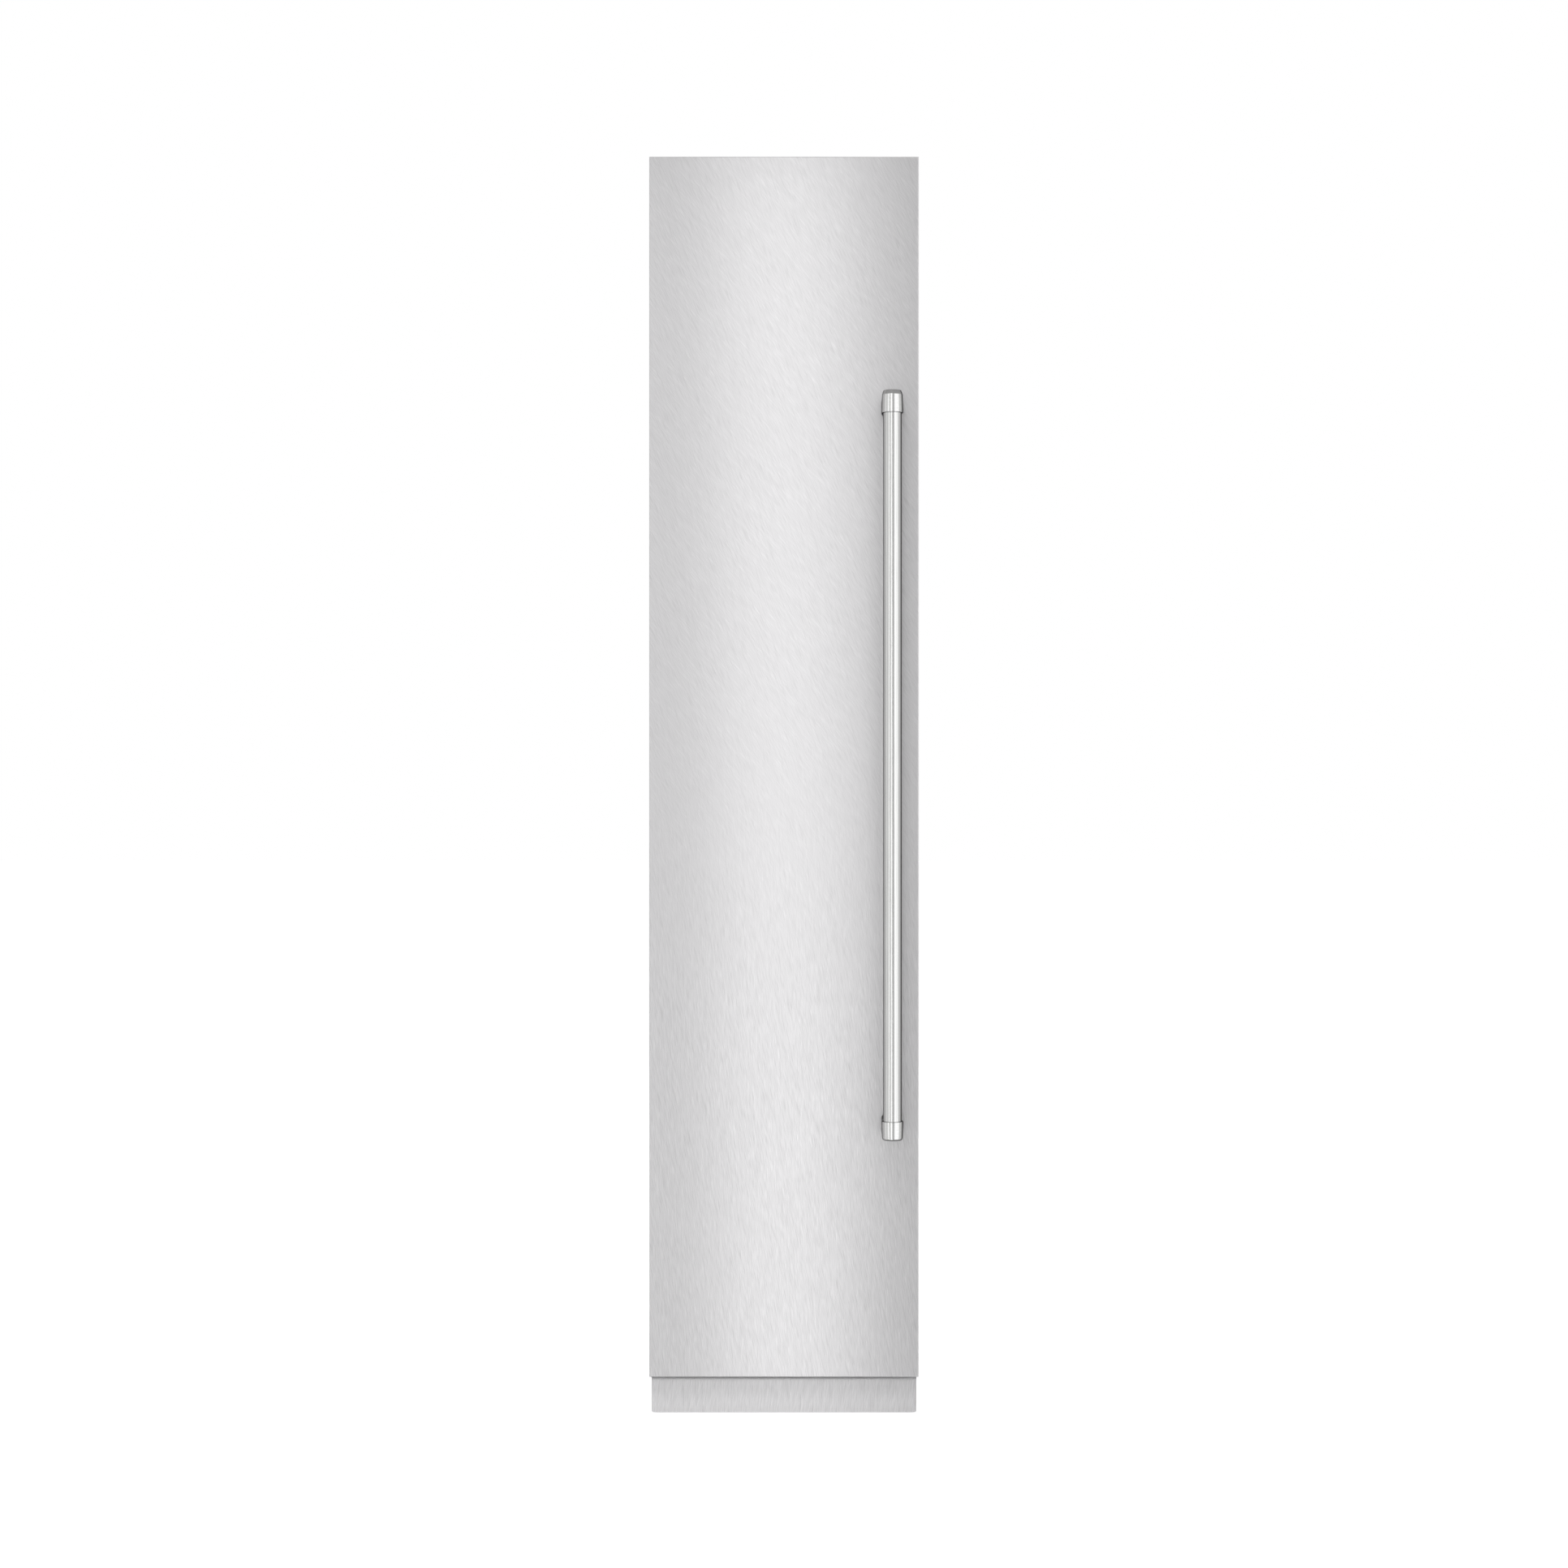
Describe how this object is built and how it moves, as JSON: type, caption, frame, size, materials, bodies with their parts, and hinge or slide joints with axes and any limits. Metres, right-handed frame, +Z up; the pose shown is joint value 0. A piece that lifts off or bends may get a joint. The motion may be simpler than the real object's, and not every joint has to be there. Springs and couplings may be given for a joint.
{
  "type": "column freezer",
  "caption": "Tall narrow column freezer with a full-height brushed steel door, an upright bar handle, a toe kick plate, glass shelves, drawers and an ice maker.",
  "frame": {"origin": "on the floor, at the middle of the footprint, handle included", "axes": "+Z up, the door faces -Y, +X to the right of someone in front of the door"},
  "size_m": [0.455, 0.676, 2.128],
  "materials": {
    "brushed_stainless": "fine random brushed",
    "polished_stainless": "satin polished",
    "cabinet_paint": "fine satin paint",
    "zinc_sheet": "galvanised",
    "motor_paint": "satin paint",
    "compressor_paint": "black enamel",
    "liner_plastic": "satin white, formed sheet",
    "clear_plastic": "clear moulded",
    "shelf_glass": "clear tempered",
    "lamp_cover": "frosted",
    "dark_plastic": "fine moulded",
    "gasket_rubber": "matt",
    "insulation_foam": "foamed",
    "coil_aluminium": "plain",
    "coil_copper": "plain"
  },
  "bodies": {
    "cabinet": {"outer_case": "cabinet_paint", "back_panel": "zinc_sheet", "machine_cover": "zinc_sheet", "cabinet_foam": "insulation_foam", "freezer_liner": "liner_plastic", "front_frame": "cabinet_paint", "base_frame": "zinc_sheet", "kick_plate": "brushed_stainless", "hinge_bracket_top": "zinc_sheet", "hinge_bracket_bottom": "zinc_sheet", "side_rack_left": "liner_plastic", "side_rack_right": "liner_plastic", "shelf_frame_1": "liner_plastic", "shelf_frame_2": "liner_plastic", "shelf_frame_3": "liner_plastic", "shelf_frame_4": "liner_plastic", "shelf_glass_1": "shelf_glass", "shelf_glass_2": "shelf_glass", "shelf_glass_3": "shelf_glass", "shelf_glass_4": "shelf_glass", "light_bar_left": "lamp_cover", "light_bar_right": "lamp_cover", "control_panel": "dark_plastic", "ice_maker": "liner_plastic", "ice_bin": "clear_plastic", "evaporator_cover": "liner_plastic", "evaporator": "coil_aluminium", "evaporator_fan_motor": "motor_paint", "compressor": "compressor_paint", "condenser": "coil_copper", "condenser_fan_motor": "motor_paint", "drain_pan": "dark_plastic", "power_inlet": "dark_plastic", "water_valve": "liner_plastic"},
    "door": {"door_front_panel": "brushed_stainless", "door_panel_core": "insulation_foam", "door_shell": "cabinet_paint", "door_foam": "insulation_foam", "door_liner": "liner_plastic", "door_gasket": "gasket_rubber", "door_bin_1": "clear_plastic", "door_bin_2": "clear_plastic", "door_bin_3": "clear_plastic", "door_bin_4": "clear_plastic", "handle_tube": "brushed_stainless", "handle_cap_top": "polished_stainless", "handle_cap_bottom": "polished_stainless", "hinge_bush_top": "dark_plastic", "hinge_bush_bottom": "dark_plastic"},
    "drawer_lower": {"drawer_lower": "clear_plastic", "drawer_lower_front": "liner_plastic"},
    "drawer_upper": {"drawer_upper": "clear_plastic", "drawer_upper_front": "liner_plastic"},
    "ice_arm": {"ice_arm": "zinc_sheet"},
    "condenser_fan": {"condenser_fan": "dark_plastic"},
    "evaporator_fan": {"evaporator_fan": "dark_plastic"},
    "roller_left": {"roller_left": "dark_plastic"},
    "roller_right": {"roller_right": "dark_plastic"},
    "foot_left": {"foot_left": "dark_plastic"},
    "foot_right": {"foot_right": "dark_plastic"}
  },
  "joints": [
    {"name": "door_hinge", "type": "hinge", "parent": "cabinet", "child": "door", "pos_m": [-0.2115, -0.224, 1.09], "axis": [0, 0, -1], "range_deg": [0, 115]},
    {"name": "drawer_lower_slide", "type": "slide", "parent": "cabinet", "child": "drawer_lower", "axis": [0, -1, 0], "range_m": [0, 0.18]},
    {"name": "drawer_upper_slide", "type": "slide", "parent": "cabinet", "child": "drawer_upper", "axis": [0, -1, 0], "range_m": [0, 0.28]},
    {"name": "ice_arm_pivot", "type": "hinge", "parent": "cabinet", "child": "ice_arm", "pos_m": [0.06, 0.148, 1.95], "axis": [-1, 0, 0], "range_deg": [0, 35]},
    {"name": "condenser_fan_spin", "type": "hinge", "parent": "cabinet", "child": "condenser_fan", "pos_m": [-0.1375, 0.222, 0.1173], "axis": [0, 1, 0], "continuous": true},
    {"name": "evaporator_fan_spin", "type": "hinge", "parent": "cabinet", "child": "evaporator_fan", "pos_m": [0, 0.239, 1.45], "axis": [0, 1, 0], "continuous": true},
    {"name": "roller_left_spin", "type": "hinge", "parent": "cabinet", "child": "roller_left", "pos_m": [-0.1895, 0.288, 0.018], "axis": [1, 0, 0], "continuous": true},
    {"name": "roller_right_spin", "type": "hinge", "parent": "cabinet", "child": "roller_right", "pos_m": [0.1895, 0.288, 0.018], "axis": [1, 0, 0], "continuous": true},
    {"name": "foot_left_turn", "type": "hinge", "parent": "cabinet", "child": "foot_left", "pos_m": [-0.1895, -0.147, 0.02], "axis": [0, 0, 1], "continuous": true},
    {"name": "foot_right_turn", "type": "hinge", "parent": "cabinet", "child": "foot_right", "pos_m": [0.1895, -0.147, 0.02], "axis": [0, 0, 1], "continuous": true}
  ],
  "couplings": [
    {"joint": "drawer_lower_slide", "follows": "door_hinge", "m_per_rad": 0.085},
    {"joint": "drawer_upper_slide", "follows": "door_hinge", "m_per_rad": 0.068}
  ]
}
